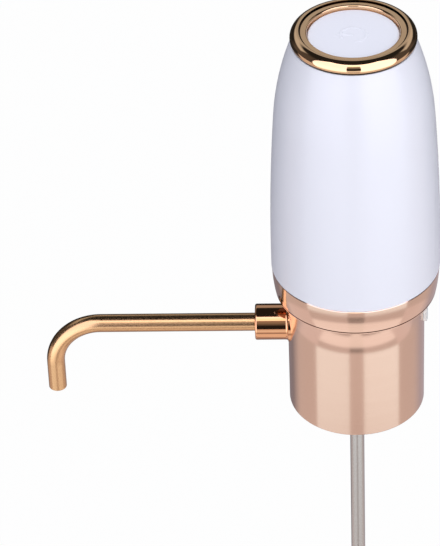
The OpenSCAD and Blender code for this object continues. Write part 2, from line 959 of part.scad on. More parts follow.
// Rubber diaphragm: a sheet with three cups whose stems hold in the wobble plate
module diaphragm() {
    color("#37383a")
        on_pump()
            difference() {
                union() {
                    translate([0, 0, skin_z])
                        cylinder(r = pump_r - skin_edge, h = skin_t);
                    for (i = [0 : cup_count - 1]) {
                        a = 90 + i * 360 / cup_count;
                        h = nut_z - arm_circle * cos(a) * sin(wobble_tilt) - arm_t / 2 - 0.5 - housing_z;
                        rotate([0, 0, a])
                            translate([arm_circle, 0, housing_z - eps]) {
                                cylinder(r1 = cup_low_r, r2 = cup_high_r, h = h);
                                cylinder(r = teat_r, h = h + arm_t + 1.2);
                            }
                    }
                }
                for (i = [0 : cup_count - 1]) {
                    a = 90 + i * 360 / cup_count;
                    h = nut_z - arm_circle * cos(a) * sin(wobble_tilt) - arm_t / 2 - 0.5 - housing_z;
                    rotate([0, 0, a])
                        translate([arm_circle, 0, skin_z - eps])
                            cylinder(r1 = cup_low_r - cup_skin, r2 = cup_high_r - cup_skin - 0.3, h = h);
                }
                round_circle(cup_count, pump_screw_circle, 30)
                    translate([0, 0, skin_z - 1])
                        cylinder(r = pump_screw_r + 0.1, h = skin_t + 2);
            }
}

// Rubber sheet with an inlet and an outlet flap under each cup
module valve_sheet() {
    color("#2f3032")
        on_pump()
            difference() {
                translate([0, 0, sheet_z])
                    cylinder(r = pump_r - 0.3, h = sheet_t);
                round_circle(cup_count, arm_circle, 90)
                    for (s = [-1, 1])
                        translate([s * 1.7, 0, sheet_z - 1])
                            difference() {
                                cylinder(r = 1.4, h = sheet_t + 2);
                                cylinder(r = 1, h = sheet_t + 2);
                                translate([-0.5, s > 0 ? 0 : -3, 0])
                                    cube([1, 3, sheet_t + 2]);
                            }
                round_circle(cup_count, pump_screw_circle, 30)
                    translate([0, 0, sheet_z - 1])
                        cylinder(r = pump_screw_r + 0.1, h = sheet_t + 2);
            }
}

// Head of the pump: outlet chamber, inlet ports and the nozzle for the hose
module pump_head() {
    color("#e8e8e4")
        on_pump()
            difference() {
                union() {
                    translate([0, 0, head_z])
                        cylinder(r = pump_r, h = head_h);
                    translate([0, 0, head_z - nozzle_h])
                        cylinder(r = nozzle_r, h = nozzle_h + eps);
                    translate([0, 0, head_z - nozzle_h + 1])
                        cylinder(r1 = nozzle_r, r2 = nozzle_r + 0.3, h = 1.5);
                }
                translate([0, 0, head_z - nozzle_h - 1])
                    cylinder(r = nozzle_r - 0.8, h = nozzle_h + 4);
                translate([0, 0, head_z + 2])
                    cylinder(r = arm_circle - 0.5, h = head_h);
                round_circle(cup_count, arm_circle + 1.7, 90)
                    translate([0, 0, head_z + 4])
                        cylinder(r = 1, h = head_h);
                round_circle(cup_count, arm_circle + 1.7, 90)
                    translate([0, 0, head_z + 5])
                        rotate([0, 90, 0])
                            cylinder(r = 0.9, h = pump_r);
                round_circle(cup_count, pump_screw_circle, 30)
                    translate([0, 0, head_z - 1])
                        cylinder(r = pump_screw_r + 0.1, h = head_h + 2);
            }
}

// Long screws that hold the pump stack to the motor
module pump_screws() {
    color("#9a9a9c")
        on_pump()
            round_circle(cup_count, pump_screw_circle, 30)
                screw(pump_screw_r, motor_z + can_wall + 1 - head_z, head_z);
}

// Soft hose from the pump's nozzle to the nipple on the flow block
module air_hose() {
    color("#dfe3e2")
        on_pump()
            difference() {
                tube(hose_r, nozzle_r + 0.02, hose_z, hose_top_z - hose_z);
                translate([0, 0, head_z - nozzle_h + 1])
                    cylinder(r1 = nozzle_r + 0.02, r2 = nozzle_r + 0.32, h = 1.5);
            }
}

// Nipple that closes the valve pocket and takes the hose
module hose_nipple() {
    color("#d0d2d0")
        on_pump()
            difference() {
                union() {
                    translate([0, 0, block_top_z - nipple_flange_h])
                        cylinder(r = valve_r - 0.05, h = nipple_flange_h);
                    translate([0, 0, block_top_z - eps])
                        cylinder(r = nipple_r, h = nipple_h);
                }
                translate([0, 0, block_top_z - nipple_flange_h - 1])
                    cylinder(r = nipple_r - 0.8, h = nipple_flange_h + nipple_h + 2);
            }
}

// Duckbill check valve that keeps wine out of the pump
module check_valve() {
    z = block_top_z - nipple_flange_h - valve_t;
    color("#e9ece8")
        on_pump()
            difference() {
                union() {
                    translate([0, 0, z])
                        cylinder(r = valve_r - 0.05, h = valve_t);
                    translate([0, 0, z - bill_h])
                        cylinder(r1 = 0.7, r2 = bill_r, h = bill_h + eps);
                }
                translate([0, 0, z - bill_h + 0.4])
                    cylinder(r1 = 0.3, r2 = bill_r - 0.5, h = bill_h + valve_t);
                translate([-2, -0.1, z - bill_h - 1])
                    cube([4, 0.2, 1.8]);
            }
}

// Block that carries wine from the dip tube to the spout and air from the hose to the bottle
module flow_block() {
    z_valve = block_top_z - nipple_flange_h - valve_t;
    color("#54575c")
        difference() {
            union() {
                translate([0, 0, block_z])
                    cylinder(r = block_flange_r, h = block_flange_t, $fn = 180);
                translate([0, 0, block_z])
                    cylinder(r = tower_r, h = block_top_z - block_z);
                translate([0, pump_y, block_z])
                    cylinder(r = riser_r, h = block_top_z - block_z);
                intersection() {
                    along_spout()
                        cylinder(r = arm_r, h = cup_in_r);
                    translate([0, 0, block_z])
                        cylinder(r = cup_in_r - 0.4, h = 40, $fn = 180);
                }
                translate([tower_r - 3, -charge_w / 2, block_z])
                    cube([charge_face - tower_r, charge_w, shelf_top_z - block_z]);
            }
            translate([0, 0, block_z - 1])
                cylinder(r = keeper_r + 0.1, h = keeper_t + 1.1);
            translate([0, 0, block_z])
                cylinder(r = tube_r + 0.05, h = tube_top_z - block_z + 0.1);
            translate([0, 0, tube_top_z])
                cylinder(r = wine_r - 0.3, h = spout_z - tube_top_z);
            along_spout()
                translate([0, 0, -wine_r])
                    cylinder(r = wine_r, h = cup_r);
            along_spout()
                translate([0, 0, stem_end - 0.1])
                    cylinder(r = stem_r + 0.05, h = cup_r);
            along_spout()
                translate([0, 0, stem_end - 1.3])
                    cylinder(r = stem_r - 0.6, h = 2);
            translate([0, air_y, block_z])
                cylinder(r = air_r, h = air_z - block_z + air_r);
            translate([0, air_y, air_z])
                rotate([-90, 0, 0])
                    cylinder(r = air_r - 0.2, h = pump_y - air_y);
            translate([0, pump_y, air_z - air_r - 0.6])
                cylinder(r = bill_r + 0.7, h = z_valve - air_z + air_r + 0.7);
            translate([0, pump_y, z_valve])
                cylinder(r = valve_r, h = block_top_z);
            round_circle(leg_count, leg_circle, 45)
                translate([0, 0, block_z - 1])
                    cylinder(r = 1.5 + fit_gap, h = block_flange_t + 2);
        }
}

// Floor of the cup, held between the stopper's two flanges
module floor_plate() {
    color("#3d3f43")
        difference() {
            rotate_extrude($fn = 180)
                translate([neck_r + 0.1, floor_z])
                    soft_square(cup_in_r - fit_gap - neck_r - 0.1, floor_t, 0.4);
            round_circle(leg_count, leg_circle, 45)
                translate([0, 0, floor_z - 1])
                    cylinder(r = 1.5 + fit_gap, h = floor_t + 2);
        }
}

// Screws through floor and flow block into the chassis legs
module floor_screws() {
    color("#9a9a9c")
        round_circle(leg_count, leg_circle, 45)
            screw(1.4, floor_t + block_flange_t + 10, floor_z);
}

// Silicone stopper with sealing fins, seat flange and the keeper flange above the floor
module stopper() {
    color("#d9dad8")
        difference() {
            union() {
                translate([0, 0, block_z])
                    cylinder(r = keeper_r, h = keeper_t);
                translate([0, 0, seat_t - 0.5])
                    cylinder(r = neck_r, h = block_z - seat_t + 0.6);
                rotate_extrude()
                    translate([stopper_r - 2, 0])
                        soft_square(seat_r - stopper_r + 2, seat_t, 0.5);
                translate([0, 0, 2 - stopper_h])
                    cylinder(r = stopper_r, h = stopper_h - 0.5);
                translate([0, 0, -stopper_h])
                    cylinder(r1 = stopper_r - 1.6, r2 = stopper_r, h = 2);
                for (i = [0 : fin_count - 1])
                    translate([0, 0, -fin_t - i * fin_pitch]) {
                        cylinder(r = fin_r, h = fin_t);
                        translate([0, 0, -0.9])
                            cylinder(r1 = stopper_r, r2 = fin_r, h = 0.9);
                    }
            }
            translate([0, 0, -stopper_h - 1])
                cylinder(r = tube_r + 0.02, h = stopper_h + block_z + keeper_t + 2);
            translate([0, air_y, -stopper_h - 1])
                cylinder(r = air_r, h = stopper_h + block_z + keeper_t + 2);
        }
}

// Fixed dip tube, held by the stopper and the flow block
module dip_tube_outer() {
    color("#c9ccce")
        tube(tube_r, tube_in_r, tube_end_z, tube_top_z - tube_end_z);
}

// End collar of the fixed tube, with the pocket of the seal
module dip_tube_collar() {
    z = tube_end_z - cap_base - seal_h;
    color("#2e2f31")
        difference() {
            rotate_extrude()
                translate([0, z])
                    union() {
                        soft_square(cap_r, cap_h, 0.6);
                        square([1, cap_h]);
                    }
            translate([0, 0, z - 1])
                cylinder(r = inner_r + 0.12, h = cap_h + 2);
            translate([0, 0, z + cap_base])
                cylinder(r = tube_r + 0.02, h = cap_h);
        }
}

// Seal ring between the two dip tubes
module dip_tube_seal() {
    color("#8c8f90")
        rotate_extrude()
            translate([inner_r + run_gap, tube_end_z - seal_h])
                soft_square(tube_r - inner_r - run_gap - 0.02, seal_h, 0.3);
}

// Sliding dip tube with a guide bead on top and notches at its foot
module dip_tube_inner() {
    color("#d2d5d7")
        difference() {
            union() {
                translate([0, 0, inner_tip_z])
                    cylinder(r = inner_r, h = inner_top_z - inner_tip_z);
                translate([0, 0, inner_top_z - bead_h])
                    cylinder(r = tube_in_r - run_gap, h = bead_h);
            }
            translate([0, 0, inner_tip_z - 1])
                cylinder(r = inner_r - inner_wall, h = inner_top_z - inner_tip_z + 2);
            for (a = [0, 90])
                rotate([0, 0, a])
                    translate([0, 0, inner_tip_z])
                        rotate([90, 0, 0])
                            cylinder(r = 1.2, h = 4 * inner_r, center = true);
        }
}

// Polished socket on the cup: fillet at the foot, stem into the flow block, bore for the spout
module spout_socket() {
    color("#c99a5f")
        along_spout()
            difference() {
                union() {
                    difference() {
                        rotate_extrude($fn = 120)
                            difference() {
                                union() {
                                    square([socket_r, socket_face - socket_round]);
                                    square([socket_r - socket_round, socket_face]);
                                    translate([socket_r - socket_round, socket_face - socket_round])
                                        circle(r = socket_round);
                                    square([socket_r + socket_fillet, cup_r + socket_fillet * 0.9]);
                                }
                                translate([socket_r + socket_fillet, cup_r + socket_fillet * 0.9])
                                    circle(r = socket_fillet);
                            }
                        rotate([0, 90, 0])
                            cylinder(r = cup_r, h = 100, center = true, $fn = 180);
                    }
                    translate([0, 0, stem_end])
                        cylinder(r = stem_r, h = socket_face - stem_end - 2);
                }
                translate([0, 0, bore_end])
                    cylinder(r = bore_r, h = seat_depth + 1);
                translate([0, 0, stem_end - 1])
                    cylinder(r = wine_r, h = socket_face);
            }
}

// Seal ring between the socket's stem and the flow block
module socket_seal() {
    color("#2e2f31")
        along_spout()
            rotate_extrude()
                translate([wine_r + 0.15, stem_end - 1.25])
                    soft_square(stem_r - 0.6 - wine_r - 0.2, 1.2, 0.4);
}

// Turned plug in the spout's end, with two ring grooves
module spout_plug() {
    color("#b7b9bb")
        along_spout()
            rotate_extrude()
                difference() {
                    union() {
                        translate([plug_bore, plug_end])
                            square([spout_r - plug_bore, plug_face - plug_end]);
                        translate([plug_bore, plug_face - eps])
                            square([spout_in_r - 0.02 - plug_bore, plug_tail]);
                    }
                    for (s = groove_at)
                        translate([groove_r, s - groove_w / 2])
                            square([2, groove_w]);
                    translate([spout_r, plug_end])
                        rotate(45)
                            square(0.6, center = true);
                }
}

// Two rubber rings that seal the spout in its socket
module spout_seals() {
    color("#2e2f31")
        along_spout()
            for (s = groove_at)
                translate([0, 0, s])
                    rotate_extrude()
                        translate([ring_mid, 0])
                            circle(r = ring_r);
}

// Path of the spout as a solid of radius r, longer at both ends by more
module spout_path(r, more) {
    straight = spout_reach - bend_r - plug_face;
    leg = spout_drop - bend_r;
    along_spout()
        translate([0, 0, plug_face - more])
            cylinder(r = r, h = straight + more);
    translate([bend_r - spout_reach, 0, spout_z - bend_r])
        rotate([90, 0, 0])
            rotate([0, 0, 90])
                rotate_extrude(angle = 90)
                    translate([bend_r, 0])
                        circle(r = r);
    translate([-spout_reach, 0, spout_z - spout_drop - more])
        cylinder(r = r, h = leg + more);
}

// Bent spout tube with a softened mouth
module spout_tube() {
    color("#cfa66f")
        difference() {
            spout_path(spout_r, 0);
            spout_path(spout_in_r, 1);
            translate([-spout_reach, 0, spout_z - spout_drop])
                rotate_extrude()
                    translate([spout_r - tip_round, tip_round])
                        difference() {
                            translate([0, -1 - tip_round])
                                square([1, 1 + tip_round]);
                            circle(r = tip_round);
                        }
        }
}

// Charging board on the flow block's shelf
module charge_board() {
    color("#1f6b3a")
        union() {
            translate([charge_face - charge_len, -charge_w / 2, shelf_top_z])
                cube([charge_len, charge_w, charge_t]);
            translate([charge_face - charge_len + 1.5, -4, shelf_top_z + charge_t - eps])
                cube([4, 4, 1.2]);
        }
}

// Metal shell of the charging socket with its tongue
module charge_socket() {
    z = shelf_top_z + charge_t;
    color("#bfc1c3")
        union() {
            difference() {
                translate([port_face, -port_w / 2, z])
                    rotate([0, -90, 0])
                        linear_extrude(height = port_depth)
                            soft_square(port_h, port_w, port_h * 0.42);
                translate([port_face + 1, -port_w / 2 + port_wall, z + port_wall])
                    rotate([0, -90, 0])
                        linear_extrude(height = port_depth)
                            soft_square(
                                port_h - 2 * port_wall, port_w - 2 * port_wall, port_h * 0.42 - port_wall);
            }
            translate([port_face - port_depth + 0.5, -port_w / 2 + 1.2, z + port_h / 2 - 0.35])
                cube([port_depth - 1.6, port_w - 2.4, 0.7]);
        }
}

// Strap that ties the port cover to the cup
module port_strap() {
    color("#eeeeec")
        difference() {
            union() {
                intersection() {
                    tube(cup_r + flap_t, cup_r, strap_z, strap_h);
                    translate([0, -strap_w / 2, strap_z - 1])
                        cube([2 * cup_r, strap_w, strap_h + 2]);
                }
                translate([cup_in_r - 0.2, 0, strap_z + strap_h / 2])
                    rotate([0, 90, 0])
                        cylinder(r = 0.9, h = cup_wall + 1);
                translate([cup_in_r - 1.4, 0, strap_z + strap_h / 2])
                    rotate([0, 90, 0])
                        cylinder(r1 = 0.9, r2 = 1.5, h = 1.2);
            }
            translate([hinge_x, 0, hinge_z]) {
                rotate([90, 0, 0])
                    cylinder(r = hinge_r + 0.12, h = 40, center = true);
                rotate([0, -cover_open, 0])
                    translate([-hinge_r, -strap_w, -flap_h])
                        cube([flap_t + fit_gap, 2 * strap_w, flap_h]);
            }
        }
}

// Outline of the port cover seen from outside, with its finger lip
module flap_outline() {
    translate([-flap_w / 2, flap_low_z])
        soft_square(flap_w, flap_h, flap_round);
    translate([-strap_w / 2, lip_z])
        soft_square(strap_w, flap_h, flap_round);
}

// Silicone port cover: curved flap with a round hinge edge, a finger lip and a shallow tongue
module port_cover() {
    color("#f0f0ee")
        union() {
            intersection() {
                tube(cup_r + flap_gap + flap_t, cup_r + flap_gap, lip_z - 1, hinge_z - lip_z + 2);
                rotate([90, 0, 90])
                    linear_extrude(height = 2 * cup_r)
                        flap_outline();
            }
            translate([hinge_x, 0, hinge_z])
                rotate([90, 0, 0])
                    cylinder(r = hinge_r - 0.05, h = strap_w, center = true);
            translate([cup_r - tongue_d, -window_w / 2 + 0.5, port_z - window_h / 2 + 1.1])
                cube([tongue_d + flap_gap + 0.6, window_w - 1, window_h - 1.7]);
        }
}

base_cup();
collar_ring();
body_shell();
top_trim_ring();
push_button();
switch_plunger();
tact_switch();
switch_board();
board_screws();
chassis();
chassis_screws();
battery_cell();
battery_tabs();
motor_can();
motor_magnets();
motor_armature();
motor_shaft();
motor_end_cap();
pump_housing();
crank();
wobble_pin();
wobble_plate();
diaphragm();
valve_sheet();
pump_head();
pump_screws();
air_hose();
hose_nipple();
check_valve();
flow_block();
floor_plate();
floor_screws();
stopper();
dip_tube_outer();
dip_tube_collar();
dip_tube_seal();
dip_tube_inner();
spout_socket();
socket_seal();
spout_plug();
spout_seals();
spout_tube();
charge_board();
charge_socket();
port_strap();
port_cover();
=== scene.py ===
"""Studio scene of an electric pouring aerator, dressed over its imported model.

Lengths are metres in the part's own frame: the origin lies on the upright axis, at the underside of the
stopper's seat flange, +Z points up and the spout points to -X.
"""

import logging
import math
from collections.abc import Iterable
from dataclasses import dataclass, field
from enum import Enum

import bpy
import numpy as np
from mathutils import Matrix, Vector

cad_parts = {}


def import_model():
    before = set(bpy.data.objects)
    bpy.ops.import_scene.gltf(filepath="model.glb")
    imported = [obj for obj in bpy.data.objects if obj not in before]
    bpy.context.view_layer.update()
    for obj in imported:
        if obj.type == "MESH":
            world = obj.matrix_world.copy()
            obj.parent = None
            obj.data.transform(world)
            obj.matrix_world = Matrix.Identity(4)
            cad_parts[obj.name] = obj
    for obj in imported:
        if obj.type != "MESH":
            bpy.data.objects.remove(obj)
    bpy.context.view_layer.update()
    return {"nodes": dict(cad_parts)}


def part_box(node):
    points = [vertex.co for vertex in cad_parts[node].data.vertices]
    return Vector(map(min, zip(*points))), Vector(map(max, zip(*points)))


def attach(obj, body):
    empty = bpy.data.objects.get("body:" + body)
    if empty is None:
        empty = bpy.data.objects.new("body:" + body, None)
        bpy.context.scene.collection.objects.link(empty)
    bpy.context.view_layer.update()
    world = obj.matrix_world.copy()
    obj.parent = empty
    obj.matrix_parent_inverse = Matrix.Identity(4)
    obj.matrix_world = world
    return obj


LOG = logging.getLogger("aerator")
MM = 0.001
UM = 0.000001
PHOTO_WIDTH = 440
PHOTO_HEIGHT = 546
SENSOR_MM = 36.0
WHITE = (1, 1, 1, 1)
# Points of a new mesh that are closer than this are one point
SAME_POINT = 1e-7
# Inputs and output of a Mix node that blends two colours
MIX_SHARE = 0
MIX_FIRST = 6
MIX_SECOND = 7
MIX_COLOUR = 2
# Most values of a noise texture lie between these two
NOISE_LOW = 0.25
NOISE_HIGH = 0.75
# Distance at which a wave texture of scale 1 repeats
WAVE_LENGTH = 0.314


class Body(Enum):
    """Bodies of the part that new pieces ride on."""

    HOUSING = "housing"
    BUTTON = "button"


class Grain(Enum):
    """Direction in which a surface was worked."""

    EVEN = "the same every way"
    ROUND_Z = "lines round the upright axis"
    ALONG_X = "lines along the spout"
    ALONG_Z = "lines along the upright axis"


def linear(code: str, alpha: float = 1.0) -> tuple[float, float, float, float]:
    """Turns an sRGB hex colour to linear values.

    Args:
        code: Six hex digits after a hash sign.
        alpha: Fourth value of the result.

    Returns:
        Linear red, green and blue, and alpha.
    """
    parts = [int(code[i : i + 2], 16) / 255 for i in (1, 3, 5)]
    red, green, blue = (c / 12.92 if c <= 0.04045 else ((c + 0.055) / 1.055) ** 2.4 for c in parts)
    return red, green, blue, alpha


def add_node(
    tree: bpy.types.NodeTree,
    kind: str,
    values: dict[str | int, object] | None = None,
    links: dict[str | int, bpy.types.NodeSocket] | None = None,
    **settings: object,
) -> bpy.types.Node:
    """Adds one node with its settings, input values and links.

    Args:
        tree: Node tree that gets the node.
        kind: Type of the node.
        values: Input name or number to its fixed value.
        links: Input name or number to the output that feeds it.
        **settings: Attributes of the node.

    Returns:
        The new node.
    """
    node = tree.nodes.new(kind)
    for name, value in settings.items():
        setattr(node, name, value)
    for name, value in (values or {}).items():
        node.inputs[name].default_value = value
    for name, socket in (links or {}).items():
        tree.links.new(socket, node.inputs[name])
    return node


def empty_material(name: str) -> bpy.types.Material:
    """Makes a material that has no nodes yet.

    Args:
        name: Name of the material.

    Returns:
        The new material.
    """
    material = bpy.data.materials.new(name)
    material.use_nodes = True
    material.node_tree.nodes.clear()
    return material


@dataclass(frozen=True)
class Finish:
    """A surface: its colours, gloss and the pattern that its making left.

    The pattern is noise drawn out along the grain. It mixes the two colours, moves the roughness and
    lifts the surface by its height.
    """

    name: str
    colour: str
    shade: str
    roughness: float
    metallic: float = 0.0
    ior: float = 1.5
    grain: Grain = Grain.EVEN
    pitch_mm: float = 2.0
    run_mm: float = 2.0
    height_um: float = 1.0
    spread: float = 0.04
    anisotropy: float = 0.0
    transmission: float = 0.0

    def scale(self) -> tuple[float, float, float]:
        """Gives the pattern's repeats per metre along X, Y and Z."""
        across, along = 1 / (self.pitch_mm * MM), 1 / (self.run_mm * MM)
        return {
            Grain.EVEN: (across, across, across),
            Grain.ROUND_Z: (along, along, across),
            Grain.ALONG_X: (along, across, across),
            Grain.ALONG_Z: (across, across, along),
        }[self.grain]

    def pattern(self, tree: bpy.types.NodeTree) -> bpy.types.NodeSocket:
        """Adds the drawn-out noise.

        Args:
            tree: The material's nodes.

        Returns:
            Output that runs from 0 to 1 over the surface.
        """
        place = add_node(tree, "ShaderNodeTexCoord")
        mapped = add_node(
            tree,
            "ShaderNodeMapping",
            values={"Scale": self.scale()},
            links={"Vector": place.outputs["Object"]},
        )
        noise = add_node(
            tree,
            "ShaderNodeTexNoise",
            values={"Scale": 1.0, "Detail": 3.0, "Roughness": 0.55},
            links={"Vector": mapped.outputs["Vector"]},
        )
        return noise.outputs["Fac"]

    def make(self) -> bpy.types.Material:
        """Builds the material once.

        Returns:
            The finished material.
        """
        found = bpy.data.materials.get(self.name)
        if found:
            return found
        material = empty_material(self.name)
        tree = material.node_tree
        pattern = self.pattern(tree)
        tint = add_node(
            tree,
            "ShaderNodeMix",
            values={MIX_FIRST: linear(self.colour), MIX_SECOND: linear(self.shade)},
            links={MIX_SHARE: pattern},
            data_type="RGBA",
        )
        gloss = add_node(
            tree,
            "ShaderNodeMapRange",
            values={
                "From Min": NOISE_LOW,
                "From Max": NOISE_HIGH,
                "To Min": max(self.roughness - self.spread, 0.0),
                "To Max": self.roughness + self.spread,
            },
            links={"Value": pattern},
        )
        relief = add_node(
            tree,
            "ShaderNodeBump",
            values={"Strength": 1.0, "Distance": self.height_um * UM},
            links={"Height": pattern},
        )
        shader = add_node(
            tree,
            "ShaderNodeBsdfPrincipled",
            values={
                "Metallic": self.metallic,
                "IOR": self.ior,
                "Anisotropic": self.anisotropy,
                "Transmission Weight": self.transmission,
            },
            links={
                "Base Color": tint.outputs[MIX_COLOUR],
                "Roughness": gloss.outputs["Result"],
                "Normal": relief.outputs["Normal"],
            },
        )
        if self.anisotropy:
            turn = add_node(tree, "ShaderNodeTangent", direction_type="RADIAL", axis="Z")
            tree.links.new(turn.outputs["Tangent"], shader.inputs["Tangent"])
        add_node(tree, "ShaderNodeOutputMaterial", links={"Surface": shader.outputs["BSDF"]})
        self.detail(tree, shader)
        return material

    def detail(self, tree: bpy.types.NodeTree, shader: bpy.types.Node) -> None:
        """Adds what only one kind of surface has; plain finishes add nothing."""


@dataclass(frozen=True)
class CircuitBoard(Finish):
    """Fibreglass board: green solder mask with paler lines where copper runs under it."""

    track_mm: float = 1.6
    track_share: float = 0.12
    track_run: float = 3.0
    copper: str = "#3f9a5c"

    def detail(self, tree: bpy.types.NodeTree, shader: bpy.types.Node) -> None:
        """Adds the copper lines under the mask as a brick pattern.

        Args:
            tree: The material's nodes.
            shader: Its shader.
        """
        place = add_node(tree, "ShaderNodeTexCoord")
        tracks = add_node(
            tree,
            "ShaderNodeTexBrick",
            values={
                "Color1": linear(self.colour),
                "Color2": linear(self.shade),
                "Mortar": linear(self.copper),
                "Scale": 1 / (self.track_mm * MM),
                "Mortar Size": self.track_share,
                "Brick Width": self.track_run,
                "Row Height": 1.0,
            },
            links={"Vector": place.outputs["Object"]},
        )
        tree.links.new(tracks.outputs["Color"], shader.inputs["Base Color"])


@dataclass(frozen=True)
class Winding(Finish):
    """Enamelled copper wire wound on the armature: dark orange with a line between turns."""

    wire_mm: float = 0.5
    unevenness: float = 0.6
    gap: str = "#5d2c12"

    def detail(self, tree: bpy.types.NodeTree, shader: bpy.types.Node) -> None:
        """Adds the turns of wire as bands across the axis.

        Args:
            tree: The material's nodes.
            shader: Its shader.
        """
        place = add_node(tree, "ShaderNodeTexCoord")
        turns = add_node(
            tree,
            "ShaderNodeTexWave",
            values={
                "Scale": WAVE_LENGTH / (self.wire_mm * MM),
                "Distortion": self.unevenness,
                "Detail": 1.0,
            },
            links={"Vector": place.outputs["Object"]},
            bands_direction="Z",
        )
        tint = add_node(
            tree,
            "ShaderNodeMix",
            values={MIX_FIRST: linear(self.gap), MIX_SECOND: linear(self.colour)},
            links={MIX_SHARE: turns.outputs["Fac"]},
            data_type="RGBA",
        )
        tree.links.new(tint.outputs[MIX_COLOUR], shader.inputs["Base Color"])


@dataclass(frozen=True)
class PaintedShadeFinish(Finish):
    """A metal with painted shade: a darker colour is mixed in along its grooves and an underside or lower
    edge, where shade falls.

    Painted shade bands run between two heights, and rings between two distances from the upright axis.
    """

    shade_bands_mm: tuple[tuple[float, float], ...] = ()
    shade_rings_mm: tuple[tuple[float, float], ...] = ()
    # Colour of the painted shade
    painted_shade: str = "#7d5a4a"

    def detail(self, tree: bpy.types.NodeTree, shader: bpy.types.Node) -> None:
        """Mixes the painted shade colour in between the limits of each band and ring.

        Args:
            tree: The material's nodes.
            shader: Its shader.
        """
        place = add_node(tree, "ShaderNodeTexCoord").outputs["Object"]
        height = add_node(tree, "ShaderNodeSeparateXYZ", links={0: place}).outputs["Z"]
        flat = add_node(
            tree,
            "ShaderNodeVectorMath",
            values={1: (1, 1, 0)},
            links={0: place},
            operation="MULTIPLY",
        )
        reach = add_node(tree, "ShaderNodeVectorMath", links={0: flat.outputs[0]}, operation="LENGTH")
        limits = [(height, *band) for band in self.shade_bands_mm]
        limits += [(reach.outputs["Value"], *ring) for ring in self.shade_rings_mm]
        base = shader.inputs["Base Color"].links[0].from_socket
        for measure, low, high in limits:
            inside = add_node(
                tree,
                "ShaderNodeMath",
                values={1: (low + high) / 2 * MM, 2: (high - low) / 2 * MM},
                links={0: measure},
                operation="COMPARE",
            )
            mixed = add_node(
                tree,
                "ShaderNodeMix",
                values={MIX_SECOND: linear(self.painted_shade)},
                links={MIX_SHARE: inside.outputs[0], MIX_FIRST: base},
                data_type="RGBA",
            )
            base = mixed.outputs[MIX_COLOUR]
        tree.links.new(base, shader.inputs["Base Color"])


# Gloss-moulded ABS: bright, faintly blue white with a hint of orange peel from the mould
GLOSS_WHITE = Finish(
    "abs_gloss_white", "#f0f0f9", "#efeff8", 0.3, ior=1.54,
    pitch_mm=1.5, run_mm=1.5, height_um=0.4, spread=0.01,
)
# The button's ABS is a shade duller, so that it doesn't mirror the room
BUTTON_WHITE = Finish(
    "abs_button_white", "#ebecf7", "#e9eaf5", 0.36, ior=1.54,
    pitch_mm=1.2, run_mm=1.2, height_um=0.5,
)
# Brushed stainless steel with a rose-gold vapour coat: fine lines round the cup draw light out into
# upright bands. The real lines are 0.05 mm apart; here they are 0.4 mm, so that they show
ROSE_BRUSHED = Finish(
    "steel_rose_gold_brushed", "#f0d3c1", "#eccdba", 0.15, 1.0, grain=Grain.ROUND_Z,
    pitch_mm=0.4, run_mm=18, height_um=0.06, spread=0.02, anisotropy=0.4,
)
# Turned and anodised aluminium in rose gold: a softer ring with faint turning lines, with painted shade in
# its groove and a painted dark line along the bottom edge of its lip
ROSE_TURNED = PaintedShadeFinish(
    "aluminium_rose_gold_turned", "#eed1bf", "#e9cab6", 0.12, 1.0, grain=Grain.ROUND_Z,
    pitch_mm=0.5, run_mm=24, height_um=0.06, spread=0.02, anisotropy=0.3,
    # Painted shade: the first band darkens the lip's bottom edge, the second the groove above it
    shade_bands_mm=((33.0, 33.95), (34.5, 35.1)), painted_shade="#a67c66",
)
# Gold plate over polished brass: a near mirror with the faint waves that polishing leaves, with painted
# shade in its fine groove and a painted shadow line along its lower edge
GOLD_POLISHED = PaintedShadeFinish(
    "brass_gold_plated", "#edc8a0", "#e7c098", 0.06, 1.0,
    pitch_mm=9, run_mm=9, height_um=1.0, spread=0.02,
    # Painted shadow line along the ring's lower edge (band), and painted shade in its fine groove (ring)
    shade_bands_mm=((161.2, 162.5),), shade_rings_mm=((22.0, 22.78),), painted_shade="#46331f",
)
# Rose-gold plate over polished brass, on the spout's socket: such a mirror with more copper in it
ROSE_POLISHED = Finish(
    "brass_rose_gold_plated", "#e9b28a", "#e3a97f", 0.06, 1.0,
    pitch_mm=7, run_mm=7, height_um=1.0, spread=0.02,
)
# Bead-blasted and gold-plated tube: soft bright line along it, fine grit seen as grain
GOLD_SATIN = Finish(
    "steel_gold_satin", "#e0b689", "#ddb184", 0.24, 1.0, grain=Grain.ALONG_X,
    pitch_mm=0.6, run_mm=3, height_um=0.1, spread=0.015,
)
# Drawn stainless steel tube: grey mirror with fine lines along its length
STEEL_DRAWN = Finish(
    "steel_drawn", "#cfcfcd", "#bdbdbb", 0.24, 1.0, grain=Grain.ALONG_Z,
    pitch_mm=0.35, run_mm=30, height_um=0.6,
)
# Zinc-plated screw steel: a little duller, with a faint cloudy plating
STEEL_ZINC = Finish(
    "steel_zinc_plated", "#c4c6c8", "#aeb1b4", 0.34, 1.0,
    pitch_mm=0.8, run_mm=0.8, height_um=2,
)
# Food-grade silicone: matt, slightly waxy, with the dust-fine texture of its mould
SILICONE_WHITE = Finish(
    "silicone_white", "#eeeeec", "#e2e2df", 0.48, ior=1.41,
    pitch_mm=0.5, run_mm=0.5, height_um=4,
)
SILICONE_GREY = Finish(
    "silicone_grey", "#8d9196", "#7d8186", 0.5, ior=1.41,
    pitch_mm=0.5, run_mm=0.5, height_um=5,
)
# Nitrile rubber: dull black with a faint grey bloom
RUBBER_BLACK = Finish(
    "rubber_black", "#1d1e20", "#2a2b2d", 0.62, ior=1.52,
    pitch_mm=0.7, run_mm=0.7, height_um=6,
)
# Spark-eroded mould texture on dark ABS: even fine grain
ABS_DARK = Finish(
    "abs_dark_textured", "#3f4247", "#35383c", 0.46, ior=1.53,
    pitch_mm=0.45, run_mm=0.45, height_um=9,
)
